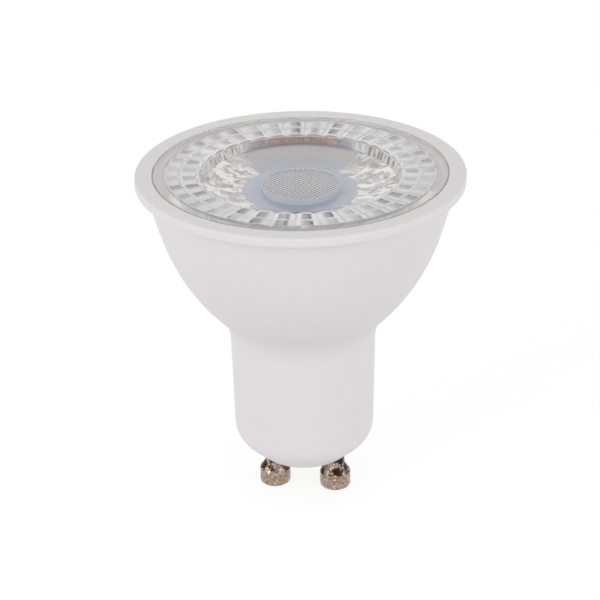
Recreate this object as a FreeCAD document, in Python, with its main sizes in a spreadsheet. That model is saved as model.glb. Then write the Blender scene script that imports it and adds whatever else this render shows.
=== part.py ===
import FreeCAD, Part
import math
import os
import re

import Sketcher

# Mains reflector lamp with a GU10 twin-pin base, upright on its pins, in millimetres.
# The origin is on the lamp's axis at the level of the pins' feet. +Z points to the lens,
# the two pins stand on the X axis, and the driver board is square to Y.

SIZES = {
    # whole lamp
    "overall_length": 56.0,
    "pin_length": 7.0,
    "pin_pitch": 10.0,
    # rim and bowl of the moulded housing, outside
    "flange_radius": 25.0,
    "flange_thickness": 1.5,
    "flange_round": 0.3,
    "flange_reach": 1.7,
    "bowl_upper_arc": 53.0,
    "rim_slope": 8.5,
    "mid_slope": 18.9,
    "waist_slope": 43.8,
    "waist_arc": 7.9,
    # neck and bevelled base, outside
    "neck_radius": 11.44,
    "neck_draft": 0.9,
    "base_flat_radius": 7.13,
    "base_bevel": 43.8,
    "base_flat_round": 2.4,
    "base_bevel_round": 4.0,
    # walls and inner seats
    "wall": 1.1,
    "base_wall": 1.6,
    "ledge_width": 1.1,
    "shelf_slope": 36.27,
    "shelf_step": 2.0,
    "guide_rib": 0.9,
    "guide_grip": 1.1,
    "guide_height": 15.0,
    # pins
    "pin_head_radius": 2.5,
    "pin_head_height": 3.0,
    "pin_shoulder": 1.0,
    "pin_neck_radius": 1.55,
    "pin_foot_round": 0.35,
    "pin_shank_radius": 1.15,
    "pin_collar_radius": 1.8,
    "pin_collar_height": 0.5,
    "pin_bore_radius": 0.7,
    "pin_bore_depth": 2.4,
    "pin_fit": 0.05,
    # liner cup, pad and lamp board
    "cup_sheet": 0.9,
    "cup_fit": 0.1,
    "cup_rim_drop": 5.6,
    "pad_thickness": 0.3,
    "pad_margin": 0.5,
    "board_radius": 12.6,
    "board_sheet": 1.0,
    "wire_notch_radius": 1.7,
    "wire_notch_reach": 10.9,
    "dam_radius": 4.6,
    "dam_width": 0.7,
    "dam_height": 0.6,
    "dam_round": 0.28,
    "emitter_height": 0.5,
    # lamp board screws
    "screw_reach": 10.5,
    "screw_radius": 1.0,
    "screw_head_radius": 1.75,
    "screw_head_height": 1.2,
    "screw_head_round": 0.6,
    "screw_length": 3.6,
    "screw_tip_radius": 0.6,
    "screw_tip_height": 0.5,
    "screw_slot": 0.4,
    "screw_fit": 0.1,
    # lens
    "lens_margin": 2.7,
    "lens_fit": 0.1,
    "lens_recess": 0.05,
    "band_thickness": 1.3,
    "facet_count": 34,
    "band_width": 1.8,
    "facet_outer_width": 2.5,
    "facet_inner_width": 2.67,
    "facet_crown": 0.24,
    "facet_outer_drop": 0.08,
    "facet_step": 0.22,
    "facet_dish": 0.3,
    "facet_inner_drop": 0.64,
    "facet_seat": 0.3,
    "pit_lip": 0.28,
    "pit_wall_width": 6.85,
    "pit_floor_width": 2.25,
    "pit_depth": 3.3,
    "disc_depth": 2.5,
    "disc_crown": 0.25,
    "cone_foot_radius": 6.8,
    "cone_arc": 75.0,
    "cavity_radius": 5.0,
    "cavity_top_radius": 4.7,
    "cavity_height": 4.6,
    "cavity_crown": 1.2,
    # driver board
    "driver_sheet": 1.0,
    "driver_back": 2.0,
    "driver_half_width": 9.4,
    "driver_drop": 3.0,
    "driver_fit": 0.1,
    "lead_radius": 0.3,
    "lead_fit": 0.1,
    "lead_tail": 0.8,
    "lead_root": 0.4,
    # driver parts on the front of the board
    "part_gap": 0.2,
    "bulk_radius": 4.0,
    "bulk_length": 11.0,
    "bulk_side": 4.6,
    "bulk_rise": 13.8,
    "bulk_round": 0.5,
    "bulk_groove_rise": 1.4,
    "bulk_groove_width": 0.8,
    "bulk_groove_depth": 0.32,
    "bulk_lead_pitch": 3.6,
    "bulk_lead_drop": 1.2,
    "film_width": 7.2,
    "film_height": 4.6,
    "film_depth": 3.6,
    "film_side": 4.4,
    "film_rise": 7.2,
    "film_lead_pitch": 5.0,
    "choke_radius": 3.6,
    "choke_length": 8.0,
    "choke_hub_radius": 1.6,
    "choke_flange": 1.2,
    "choke_side": 4.6,
    "choke_rise": 16.6,
    "choke_wound_radius": 3.15,
    "fuse_radius": 1.5,
    "fuse_length": 6.4,
    "fuse_side": 6.6,
    "fuse_rise": 8.4,
    "fuse_cap": 1.3,
    "fuse_taper": 0.5,
    "fuse_waist_radius": 1.28,
    "fuse_round": 0.6,
    "fuse_lead_reach": 0.9,
    # driver parts on the back of the board
    "bridge_width": 4.7,
    "bridge_height": 3.9,
    "bridge_depth": 2.5,
    "bridge_rise": 10.8,
    "bridge_foot_pitch": 3.6,
    "bridge_foot_width": 0.7,
    "chip_width": 4.9,
    "chip_height": 3.9,
    "chip_depth": 1.5,
    "chip_rise": 16.6,
    "chip_foot_pitch": 1.27,
    "chip_foot_width": 0.42,
    "diode_width": 4.3,
    "diode_height": 2.6,
    "diode_depth": 2.2,
    "diode_rise": 5.4,
    "diode_foot_width": 1.5,
    "resistor_width": 3.2,
    "resistor_height": 1.6,
    "resistor_depth": 0.6,
    "resistor_side": 6.2,
    "case_bevel": 0.25,
    "foot_sheet": 0.25,
    "foot_reach": 0.75,
    # wires
    "wire_radius": 0.55,
    "input_wire_bow": 1.0,
    "input_hole_side": 7.6,
    "input_hole_rise": 6.2,
    "output_hole_side": 2.0,
    "output_hole_drop": 1.4,
    "output_wire_reach": 6.8,
    "output_wire_side": 0.8,
    "output_wire_dip": 1.6,
    "output_wire_arch": 0.6,
    "output_pad_side": 4.6,
    "output_pad_reach": 9.8,
}

# Places that follow from other sizes, so that a change of one size moves what meets it.
DERIVED = {
    "bowl_radius": "(flange_radius - flange_reach)",
    "lens_radius": "(flange_radius - lens_margin)",
    "facet_outer_radius": "(lens_radius - band_width)",
    "facet_middle_radius": "(facet_outer_radius - facet_outer_width)",
    "facet_inner_radius": "(facet_middle_radius - facet_inner_width)",
    "pit_radius": "(facet_inner_radius - pit_lip)",
    "pit_floor_radius": "(pit_radius - pit_wall_width)",
    "disc_radius": "(pit_floor_radius - pit_floor_width)",
    "driver_top": "(shelf_height - driver_drop)",
    "bulk_bottom": "(pin_length + bulk_rise)",
    "film_bottom": "(pin_length + film_rise)",
    "choke_bottom": "(pin_length + choke_rise)",
    "fuse_bottom": "(pin_length + fuse_rise)",
    "bridge_bottom": "(pin_length + bridge_rise)",
    "chip_bottom": "(pin_length + chip_rise)",
    "diode_bottom": "(pin_length + diode_rise)",
    "input_hole_height": "(pin_length + input_hole_rise)",
    "output_hole_height": "(driver_top - output_hole_drop)",
}

doc = FreeCAD.newDocument("gu10_spotlight_bulb")
sheet = doc.addObject("Spreadsheet::Sheet", "dims")
for row, (alias, number) in enumerate(SIZES.items(), start=1):
    sheet.set(f"A{row}", alias)
    sheet.set(f"B{row}", str(number))
    sheet.setAlias(f"B{row}", alias)
doc.recompute()

NODES = []
FRONT_LEADS = []
SIDES = (("left", "-"), ("right", ""))
BEND_SHARE = 0.45


def bound(text):
    """The text as a sheet formula: derived names are written out, and sizes get the sheet's name in front."""
    while set(re.findall(r"[a-z_]+", text)) & set(DERIVED):
        text = re.sub(r"[a-z_]+", lambda word: DERIVED.get(word[0], word[0]), text)
    return re.sub(r"[a-z_]+", lambda word: f"dims.{word[0]}" if word[0] in SIZES else word[0], text)


def size(text):
    """The number that a formula gives with the sheet's present values."""
    number = sheet.evalExpression(bound(text))
    return float(getattr(number, "Value", number))


def node(piece):
    """Marks a finished piece as one that is written out under its label."""
    piece.Label = piece.Name
    NODES.append(piece)
    return piece


def place(piece, x="0", y="0", z="0"):
    """Binds a piece's position to formulas."""
    for axis, text in zip("xyz", (x, y, z)):
        piece.setExpression(f"Placement.Base.{axis}", bound(text))
    return piece


def origin_plane(body, role):
    return next(plane for plane in body.Origin.OriginFeatures if plane.Role == role)


def arc_between(start, end, radius, turn):
    """The shorter arc from start to end, turning left for turn 1 and right for turn -1."""
    chord = end - start
    rise = math.sqrt(radius**2 - (chord.Length / 2) ** 2)
    normal = FreeCAD.Vector(-chord.y, chord.x, 0).normalize()
    centre = (start + end) / 2 + normal * (rise * turn)
    first, last = (start, end) if turn > 0 else (end, start)
    angles = [math.atan2(point.y - centre.y, point.x - centre.x) for point in (first, last)]
    circle = Part.Circle(centre, FreeCAD.Vector(0, 0, 1), radius)
    return Part.ArcOfCircle(circle, angles[0], angles[1])


def outline(body, name, plane, stops):
    """A closed sketch. A stop is two formulas, and an arc to the next stop adds radius and turn."""
    sketch = body.newObject("Sketcher::SketchObject", name)
    sketch.AttachmentSupport = [(origin_plane(body, plane), "")]
    sketch.MapMode = "FlatFace"
    points = [FreeCAD.Vector(size(stop[0]), size(stop[1]), 0) for stop in stops]
    ends = []
    for index, stop in enumerate(stops):
        start = points[index]
        end = points[(index + 1) % len(points)]
        if len(stop) == 2:
            sketch.addGeometry(Part.LineSegment(start, end), False)
            ends.append((1, 2))
        else:
            sketch.addGeometry(arc_between(start, end, size(stop[2]), stop[3]), False)
            ends.append((1, 2) if stop[3] > 0 else (2, 1))
    for index, stop in enumerate(stops):
        before = (index - 1) % len(stops)
        first = ends[index][0]
        sketch.addConstraint(Sketcher.Constraint("Coincident", before, ends[before][1], index, first))
        for kind, text in (("DistanceX", stop[0]), ("DistanceY", stop[1])):
            held = sketch.addConstraint(Sketcher.Constraint(kind, -1, 1, index, first, size(text)))
            sketch.setExpression(f"Constraints[{held}]", bound(text))
        if len(stop) > 2:
            held = sketch.addConstraint(Sketcher.Constraint("Radius", index, size(stop[2])))
            sketch.setExpression(f"Constraints[{held}]", bound(stop[2]))
    return sketch


def turned(name, stops):
    """A body turned round the Z axis from an outline of (radius, height) stops."""
    body = doc.addObject("PartDesign::Body", name)
    sketch = outline(body, f"{name}_profile", "XZ_Plane", stops)
    turn = body.newObject("PartDesign::Revolution", f"{name}_turn")
    turn.Profile = sketch
    turn.ReferenceAxis = (sketch, ["V_Axis"])
    turn.Angle = 360
    sketch.Visibility = False
    return body


def raised(body, name, stops, height, plane="XY_Plane", drop="0", kind="PartDesign::Pad"):
    """A pad or pocket of an outline, from a plane moved by drop along its normal."""
    sketch = outline(body, f"{name}_outline", plane, stops)
    sketch.setExpression(".AttachmentOffset.Base.z", bound(drop))
    feature = body.newObject(kind, name)
    feature.Profile = sketch
    feature.setExpression("Length", bound(height))
    if kind == "PartDesign::Pocket":
        feature.Reversed = True
    return feature


def rectangle(low_x, low_y, high_x, high_y):
    return [(low_x, low_y), (high_x, low_y), (high_x, high_y), (low_x, high_y)]


def ring_edges(shape, radius, height):
    """Names of the round edges of one radius at one height."""
    names = []
    for index, edge in enumerate(shape.Edges, start=1):
        curve = edge.Curve
        if isinstance(curve, Part.Circle):
            if abs(curve.Radius - radius) < 1e-4 and abs(curve.Center.z - height) < 1e-4:
                names.append(f"Edge{index}")
    return names


def rounded(body, name, radius, *rings):
    """Rounds the ring edges given as (radius, height) formulas."""
    doc.recompute()
    base = body.Tip
    names = [edge for ring in rings for edge in ring_edges(base.Shape, size(ring[0]), size(ring[1]))]
    fillet = body.newObject("PartDesign::Fillet", name)
    fillet.Base = (base, names)
    fillet.setExpression("Radius", bound(radius))
    return fillet


def box(name, corner, extent):
    solid = doc.addObject("Part::Box", name)
    for side, text in zip(("Length", "Width", "Height"), extent):
        solid.setExpression(side, bound(text))
    return place(solid, *corner)


def rod(name, centre, radius, height, axis=FreeCAD.Vector(0, 0, 1)):
    solid = doc.addObject("Part::Cylinder", name)
    solid.setExpression("Radius", bound(radius))
    solid.setExpression("Height", bound(height))
    solid.Placement = FreeCAD.Placement(FreeCAD.Vector(), FreeCAD.Rotation(FreeCAD.Vector(0, 0, 1), axis))
    return place(solid, *centre)


def fused(name, pieces):
    union = doc.addObject("Part::MultiFuse", name)
    union.Shapes = pieces
    return union


def cut(name, base, tools):
    difference = doc.addObject("Part::Cut", name)
    difference.Base = base
    difference.Tool = tools[0] if len(tools) == 1 else fused(f"{name}_tools", tools)
    return difference


def tube(stops, radius):
    """A round wire along straight runs joined by arcs, each over the same share of its shorter run."""
    points = [FreeCAD.Vector(*stop) for stop in stops]
    edges = []
    last = points[0]
    length = 0.0
    for before, corner, after in zip(points, points[1:], points[2:]):
        to_before = (before - corner).normalize()
        to_after = (after - corner).normalize()
        half_turn = (math.pi - to_before.getAngle(to_after)) / 2
        reach = BEND_SHARE * min(before.distanceToPoint(corner), corner.distanceToPoint(after))
        bend = reach / math.tan(half_turn)
        start = corner + to_before * reach
        end = corner + to_after * reach
        inward = (to_before + to_after).normalize()
        middle = corner + inward * (bend / math.cos(half_turn) - bend)
        edges.append(Part.LineSegment(last, start).toShape())
        edges.append(Part.Arc(start, middle, end).toShape())
        length += last.distanceToPoint(start) + 2 * half_turn * bend
        last = end
    edges.append(Part.LineSegment(last, points[-1]).toShape())
    length += last.distanceToPoint(points[-1])
    path = Part.Wire(edges)
    section = Part.Wire(Part.Circle(points[0], points[1] - points[0], radius).toShape())
    shape = path.makePipeShell([section], True, False)
    assert abs(shape.Volume - math.pi * radius**2 * length) < 0.01 * shape.Volume
    return shape


def wire(name, stops):
    piece = doc.addObject("Part::Feature", name)
    piece.Shape = tube(stops, size("wire_radius"))
    return node(piece)


# Outside of the bowl: three arcs that meet tangent. A slope is the wall's angle from the vertical.
# Each arc's centre and end are formulas, so that the inside and the liner cup follow by an offset.

FLANGE_FOOT = "(overall_length - flange_thickness)"
LOWER_ARC = (
    "((bowl_radius - neck_radius - bowl_upper_arc * (cos(rim_slope) - cos(mid_slope))"
    " - waist_arc * (cos(neck_draft) - cos(waist_slope))) / (cos(mid_slope) - cos(waist_slope)))"
)
UPPER_CENTRE = (
    "(bowl_radius - bowl_upper_arc * cos(rim_slope))",
    f"({FLANGE_FOOT} + bowl_upper_arc * sin(rim_slope))",
)
LOWER_CENTRE = (
    f"({UPPER_CENTRE[0]} + (bowl_upper_arc - {LOWER_ARC}) * cos(mid_slope))",
    f"({UPPER_CENTRE[1]} - (bowl_upper_arc - {LOWER_ARC}) * sin(mid_slope))",
)
WAIST_CENTRE = (
    f"({LOWER_CENTRE[0]} + ({LOWER_ARC} + waist_arc) * cos(waist_slope))",
    f"({LOWER_CENTRE[1]} - ({LOWER_ARC} + waist_arc) * sin(waist_slope))",
)

DERIVED["shelf_height"] = f"({LOWER_CENTRE[1]} - ({LOWER_ARC} - wall) * sin(shelf_slope))"


def on_arc(centre, radius, slope):
    """The stop on an arc where the wall has the given slope. A hollow arc has a negative radius."""
    return (f"{centre[0]} + ({radius}) * cos({slope})", f"{centre[1]} - ({radius}) * sin({slope})")


def upper_stop(inset, slope):
    return on_arc(UPPER_CENTRE, f"bowl_upper_arc - ({inset})", slope)


def lower_stop(inset, slope):
    return on_arc(LOWER_CENTRE, f"{LOWER_ARC} - ({inset})", slope)


def waist_stop(inset, slope):
    return on_arc(WAIST_CENTRE, f"-(waist_arc + ({inset}))", slope)


def upper_height(inset, radius):
    """Height at which the upper arc, set in by the inset, has the given radius."""
    return (
        f"{UPPER_CENTRE[1]} - sqrt((bowl_upper_arc - ({inset}))^2"
        f" - ({radius} - {UPPER_CENTRE[0]})^2)"
    )


def lower_radius(inset, height):
    """Radius of the lower arc, set in by the inset, at the given height."""
    return f"{LOWER_CENTRE[0]} + sqrt(({LOWER_ARC} - ({inset}))^2 - ({height} - {LOWER_CENTRE[1]})^2)"


def waist_height(inset, radius):
    """Height at which the hollow waist arc, set in by the inset, has the given radius."""
    return f"{WAIST_CENTRE[1]} + sqrt((waist_arc + ({inset}))^2 - ({radius} - {WAIST_CENTRE[0]})^2)"


# Base: flat round the pins, a bevel, then the drafted neck. The corners are where these lines cross.

NECK_TOP = waist_stop("0", "neck_draft")
BEVEL_TOP_RADIUS = (
    f"(({NECK_TOP[0]} - ({NECK_TOP[1]} - pin_length + base_flat_radius * tan(base_bevel)) * tan(neck_draft))"
    " / (1 - tan(neck_draft) * tan(base_bevel)))"
)
BEVEL_TOP_HEIGHT = f"(pin_length + ({BEVEL_TOP_RADIUS} - base_flat_radius) * tan(base_bevel))"
FLOOR_HEIGHT = "(pin_length + base_wall)"
INNER_FLAT_RADIUS = "(base_flat_radius + (base_wall - wall / cos(base_bevel)) / tan(base_bevel))"
INNER_NECK_RADIUS = f"({BEVEL_TOP_RADIUS} - wall)"
INNER_BEVEL_HEIGHT = (
    f"(pin_length + ({INNER_NECK_RADIUS} - base_flat_radius) * tan(base_bevel) + wall / cos(base_bevel))"
)
LENS_TOP = "(overall_length - lens_recess)"
SEAT_HEIGHT = f"({LENS_TOP} - band_thickness)"
RECESS_RADIUS = "(lens_radius + lens_fit)"
LEDGE_RADIUS = f"({RECESS_RADIUS} - ledge_width)"
SHELF_RADIUS = "(neck_radius - wall + shelf_step)"
BOARD_FRONT = "(driver_back - driver_sheet / 2)"
BOARD_BACK = "(driver_back + driver_sheet / 2)"
DRIVER_CORNER = f"sqrt(driver_half_width^2 + {BOARD_BACK}^2)"
DRIVER_BOTTOM = (
    f"(pin_length + ({DRIVER_CORNER} - base_flat_radius) * tan(base_bevel)"
    " + wall / cos(base_bevel) + driver_fit / 2)"
)
CUP_INSET = "(wall + cup_fit)"
CUP_FLOOR = "(shelf_height + cup_sheet)"
PAD_TOP = f"({CUP_FLOOR} + pad_thickness)"
LAMP_BOARD_TOP = f"({PAD_TOP} + board_sheet)"


def housing():
    """The white moulding: base, neck, bowl and rim flange with the lens recess, hollow."""
    body = turned(
        "housing",
        [
            ("0", "pin_length"),
            ("base_flat_radius", "pin_length"),
            (BEVEL_TOP_RADIUS, BEVEL_TOP_HEIGHT),
            (*waist_stop("0", "neck_draft"), "waist_arc", -1),
            (*lower_stop("0", "waist_slope"), LOWER_ARC, 1),
            (*upper_stop("0", "mid_slope"), "bowl_upper_arc", 1),
            ("bowl_radius", FLANGE_FOOT),
            ("flange_radius", FLANGE_FOOT),
            ("flange_radius", "overall_length"),
            (RECESS_RADIUS, "overall_length"),
            (RECESS_RADIUS, SEAT_HEIGHT),
            (LEDGE_RADIUS, SEAT_HEIGHT),
            (LEDGE_RADIUS, upper_height("wall", LEDGE_RADIUS), "bowl_upper_arc - wall", -1),
            (*upper_stop("wall", "mid_slope"), f"{LOWER_ARC} - wall", -1),
            (lower_radius("wall", "shelf_height"), "shelf_height"),
            (SHELF_RADIUS, "shelf_height"),
            (SHELF_RADIUS, waist_height("wall", SHELF_RADIUS), "waist_arc + wall", 1),
            waist_stop("wall", "neck_draft"),
            (INNER_NECK_RADIUS, INNER_BEVEL_HEIGHT),
            (INNER_FLAT_RADIUS, FLOOR_HEIGHT),
            ("0", FLOOR_HEIGHT),
        ],
    )
    rounded(body, "base_flat_fillet", "base_flat_round", ("base_flat_radius", "pin_length"))
    rounded(body, "base_bevel_fillet", "base_bevel_round", (BEVEL_TOP_RADIUS, BEVEL_TOP_HEIGHT))
    rims = [("flange_radius", FLANGE_FOOT), ("flange_radius", "overall_length")]
    rounded(body, "flange_fillet", "flange_round", *rims)
    front = f"({BOARD_FRONT} - driver_fit)"
    back = f"({BOARD_BACK} + driver_fit)"
    for side, sign in SIDES:
        guide_rib(body, f"front_{side}", sign, f"{front} - guide_rib", front)
        guide_rib(body, f"back_{side}", sign, back, f"{back} + guide_rib")
    doc.recompute()
    for side, sign in SIDES:
        hole = body.newObject("Sketcher::SketchObject", f"pin_hole_{side}_circle")
        hole.AttachmentSupport = [(origin_plane(body, "XY_Plane"), "")]
        hole.MapMode = "FlatFace"
        centre = FreeCAD.Vector(size(f"{sign}pin_pitch / 2"), 0, 0)
        radius = size("pin_shank_radius + pin_fit")
        hole.addGeometry(Part.Circle(centre, FreeCAD.Vector(0, 0, 1), radius), False)
        hole.addConstraint(Sketcher.Constraint("PointOnObject", 0, 3, -1))
        held = hole.addConstraint(Sketcher.Constraint("DistanceX", -1, 1, 0, 3, centre.x))
        hole.setExpression(f"Constraints[{held}]", bound(f"{sign}pin_pitch / 2"))
        held = hole.addConstraint(Sketcher.Constraint("Radius", 0, radius))
        hole.setExpression(f"Constraints[{held}]", bound("pin_shank_radius + pin_fit"))
        bore = body.newObject("PartDesign::Pocket", f"pin_hole_{side}")
        bore.Profile = hole
        bore.Reversed = True
        bore.setExpression("Length", bound(FLOOR_HEIGHT))
    return node(body)


def guide_rib(body, name, sign, near, far):
    """A rib on the neck's inner wall, between two distances from X, beside one edge of the board."""
    inner = f"{sign}(driver_half_width - guide_grip)"
    outer = f"{sign}sqrt(({INNER_NECK_RADIUS} + wall / 3)^2 - ({far})^2)"
    section = rectangle(inner, near, outer, far)
    raised(body, f"guide_{name}", section, "guide_height", drop=DRIVER_BOTTOM)


def pin(name, sign):
    """A turned pin: head with a rounded foot, cone shoulder, neck, shank, crimped collar and wire bore."""
    collar_top = f"({FLOOR_HEIGHT} + pin_collar_height)"
    body = turned(
        name,
        [
            ("0", "0"),
            ("pin_head_radius", "0"),
            ("pin_head_radius", "pin_head_height"),
            ("pin_neck_radius", "pin_head_height + pin_shoulder"),
            ("pin_neck_radius", "pin_length"),
            ("pin_shank_radius", "pin_length"),
            ("pin_shank_radius", FLOOR_HEIGHT),
            ("pin_collar_radius", FLOOR_HEIGHT),
            ("pin_shank_radius", collar_top),
            ("pin_bore_radius", collar_top),
            ("pin_bore_radius", f"{collar_top} - pin_bore_depth"),
            ("0", f"{collar_top} - pin_bore_depth"),
        ],
    )
    rounded(body, f"{name}_foot", "pin_foot_round", ("pin_head_radius", "0"))
    return node(place(body, x=f"{sign}pin_pitch / 2"))


def heat_cup():
    """The pressed aluminium liner: flat floor on the shelf, wall along the bowl, rim under the ledge."""
    outer = CUP_INSET
    inner = f"({CUP_INSET} + cup_sheet)"
    rim = f"({SEAT_HEIGHT} - cup_rim_drop)"

    def upper_radius(inset):
        return (
            f"{UPPER_CENTRE[0]} + sqrt((bowl_upper_arc - ({inset}))^2"
            f" - ({rim} - {UPPER_CENTRE[1]})^2)"
        )

    body = turned(
        "heat_cup_blank",
        [
            ("0", "shelf_height"),
            (lower_radius(outer, "shelf_height"), "shelf_height", f"{LOWER_ARC} - {outer}", 1),
            (*upper_stop(outer, "mid_slope"), f"bowl_upper_arc - {outer}", 1),
            (upper_radius(outer), rim),
            (upper_radius(inner), rim, f"bowl_upper_arc - {inner}", -1),
            (*upper_stop(inner, "mid_slope"), f"{LOWER_ARC} - {inner}", -1),
            (lower_radius(inner, CUP_FLOOR), CUP_FLOOR),
            ("0", CUP_FLOOR),
        ],
    )
    holes = screw_holes("cup", "screw_radius", "shelf_height", "cup_sheet")
    slot = rod("cup_wire_hole", ("0", "wire_notch_reach", "shelf_height"), "wire_notch_radius", "cup_sheet")
    return node(cut("heat_cup", body, holes + [slot]))


def screw_holes(owner, radius, bottom, height):
    return [
        rod(f"{owner}_hole_{side}", (f"{sign}screw_reach", "0", bottom), radius, height)
        for side, sign in SIDES
    ]


def wire_notch(owner, bottom, height):
    """The open notch in the rim of pad or board, in line with the cup's wire hole."""
    corner = ("-wire_notch_radius", "wire_notch_reach", bottom)
    slot = box(f"{owner}_notch", corner, ("2 * wire_notch_radius", "board_radius", height))
    end = rod(f"{owner}_notch_end", ("0", "wire_notch_reach", bottom), "wire_notch_radius", height)
    return [slot, end]


def thermal_pad():
    disc = rod("thermal_pad_disc", ("0", "0", CUP_FLOOR), "board_radius - pad_margin", "pad_thickness")
    holes = screw_holes("pad", "screw_radius + screw_fit", CUP_FLOOR, "pad_thickness")
    return node(cut("thermal_pad", disc, holes + wire_notch("pad", CUP_FLOOR, "pad_thickness")))


def lamp_board():
    disc = rod("lamp_board_disc", ("0", "0", PAD_TOP), "board_radius", "board_sheet")
    holes = screw_holes("lamp_board", "screw_radius + screw_fit", PAD_TOP, "board_sheet")
    return node(cut("lamp_board", disc, holes + wire_notch("lamp_board", PAD_TOP, "board_sheet")))


def emitter():
    """The chips' ring dam with a rounded crest, and the phosphor fill inside it."""
    inner = "(dam_radius - dam_width)"
    low, high = LAMP_BOARD_TOP, f"({LAMP_BOARD_TOP} + dam_height)"
    dam = turned("emitter_dam", [(inner, low), ("dam_radius", low), ("dam_radius", high), (inner, high)])
    rounded(dam, "dam_crown", "dam_round", (inner, high), ("dam_radius", high))
    node(dam)
    node(rod("emitter", ("0", "0", low), inner, "emitter_height"))


def board_screw(name, sign):
    """A pan-head screw with a straight slot, through board and pad into the cup floor."""
    top = f"({LAMP_BOARD_TOP} + screw_head_height)"
    tip = f"({LAMP_BOARD_TOP} - screw_length)"
    body = turned(
        f"{name}_blank",
        [
            ("0", tip),
            ("screw_tip_radius", tip),
            ("screw_radius", f"{tip} + screw_tip_height"),
            ("screw_radius", LAMP_BOARD_TOP),
            ("screw_head_radius", LAMP_BOARD_TOP),
            ("screw_head_radius", top),
            ("0", top),
        ],
    )
    rounded(body, f"{name}_crown", "screw_head_round", ("screw_head_radius", top))
    slot = box(
        f"{name}_slot",
        ("-screw_head_radius", "-screw_slot / 2", f"{top} - screw_slot"),
        ("2 * screw_head_radius", "screw_slot", "2 * screw_slot"),
    )
    screw = cut(name, body, [slot])
    return node(place(screw, x=f"{sign}screw_reach"))


def facet_wire(radius, edge_height, crown, depth):
    """The upright section of one facet at a radius: flat foot and crowned top, as a closed wire."""
    half = math.pi / size("facet_count")
    x = radius * math.cos(half)
    y = radius * math.sin(half)
    left = FreeCAD.Vector(x, -y, edge_height)
    right = FreeCAD.Vector(x, y, edge_height)
    crest = FreeCAD.Vector(x, 0, edge_height + crown)
    low = FreeCAD.Vector(0, 0, -depth)
    top = Part.Arc(left, crest, right).toShape()
    lines = [Part.LineSegment(right, right + low), Part.LineSegment(right + low, left + low)]
    lines.append(Part.LineSegment(left + low, left))
    return Part.Wire([top] + [line.toShape() for line in lines])


def facet_ring(inner, outer, inner_drop, outer_drop, depth):
    """One facet of a ring and its turned copies. Its crest runs straight between the two drops."""
    top = size(LENS_TOP)
    crown = size("facet_crown")
    sections = [
        facet_wire(radius, top - drop - crown, crown, depth)
        for radius, drop in ((inner, inner_drop), (outer, outer_drop))
    ]
    facet = Part.makeLoft(sections, True, True)
    pitch = 360 / size("facet_count")
    copies = []
    for index in range(int(size("facet_count"))):
        copy = facet.copy()
        copy.rotate(FreeCAD.Vector(), FreeCAD.Vector(0, 0, 1), (index + 0.5) * pitch)
        copies.append(copy)
    return copies


def lens():
    """The clear moulding: flat band, two facet rings on a dish, pit with raised disc, cone and cavity."""
    top = size(LENS_TOP)
    foot = size(LAMP_BOARD_TOP)
    dish = size("facet_inner_drop + facet_crown + facet_seat")
    band = size("facet_outer_drop + facet_crown + facet_seat")
    points = {
        "disc_centre": (0, top - size("disc_depth - disc_crown")),
        "disc_edge": (size("disc_radius"), top - size("disc_depth")),
        "disc_foot": (size("disc_radius"), top - size("pit_depth")),
        "floor_edge": (size("pit_floor_radius"), top - size("pit_depth")),
        "pit_edge": (size("pit_radius"), top - dish),
        "dish_edge": (size("facet_outer_radius"), top - band),
        "band_inner": (size("facet_outer_radius"), top),
        "band_outer": (size("lens_radius"), top),
        "band_foot": (size("lens_radius"), size(SEAT_HEIGHT)),
        "cone_top": (size("facet_outer_radius"), size(SEAT_HEIGHT)),
        "cone_foot": (size("cone_foot_radius"), foot),
        "cavity_foot": (size("cavity_radius"), foot),
        "cavity_top": (size("cavity_top_radius"), foot + size("cavity_height")),
        "cavity_crown": (0, foot + size("cavity_height - cavity_crown")),
    }
    spot = {name: FreeCAD.Vector(radius, 0, height) for name, (radius, height) in points.items()}
    curved = {
        "disc_centre": crowned(spot["disc_edge"], spot["disc_centre"]),
        "cone_top": bowed(spot["cone_top"], spot["cone_foot"], size("cone_arc")),
        "cavity_top": crowned(spot["cavity_top"], spot["cavity_crown"]),
    }
    names = list(spot)
    edges = []
    for name, following in zip(names, names[1:] + names[:1]):
        straight = Part.LineSegment(spot[name], spot[following])
        edges.append(curved.get(name, straight).toShape())
    profile = Part.Face(Part.Wire(edges))
    blank = profile.revolve(FreeCAD.Vector(), FreeCAD.Vector(0, 0, 1), 360)
    middle = size("facet_middle_radius")
    depth = size("facet_seat + facet_step")
    low = size("facet_inner_drop")
    high = size("facet_dish + facet_step")
    inner_ring = facet_ring(size("facet_inner_radius"), middle, low, high, depth)
    reach = size("facet_outer_radius + lens_radius") / 2
    outer_ring = facet_ring(middle, reach, size("facet_dish"), size("facet_outer_drop"), depth)
    piece = doc.addObject("Part::Feature", "lens")
    piece.Shape = blank.multiFuse(inner_ring + outer_ring)
    return node(piece)


def crowned(edge, centre):
    """A quarter of a dome's section: the arc from edge to the point on the axis, level there."""
    sag = abs(centre.z - edge.z)
    dome = (edge.x**2 + sag**2) / (2 * sag)
    direction = 1 if centre.z > edge.z else -1
    heart = FreeCAD.Vector(0, 0, centre.z - direction * dome)
    half = (edge + centre) / 2
    middle = heart + (half - heart).normalize() * dome
    return Part.Arc(centre, middle, edge) if direction > 0 else Part.Arc(edge, middle, centre)


def bowed(start, end, radius):
    """The cone's section: an arc of the given radius that bulges outward between two points."""
    chord = end - start
    sag = radius - math.sqrt(radius**2 - (chord.Length / 2) ** 2)
    outward = FreeCAD.Vector(-chord.z, 0, chord.x).normalize()
    if outward.x < 0:
        outward = -outward
    return Part.Arc(start, (start + end) / 2 + outward * sag, end)


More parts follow.
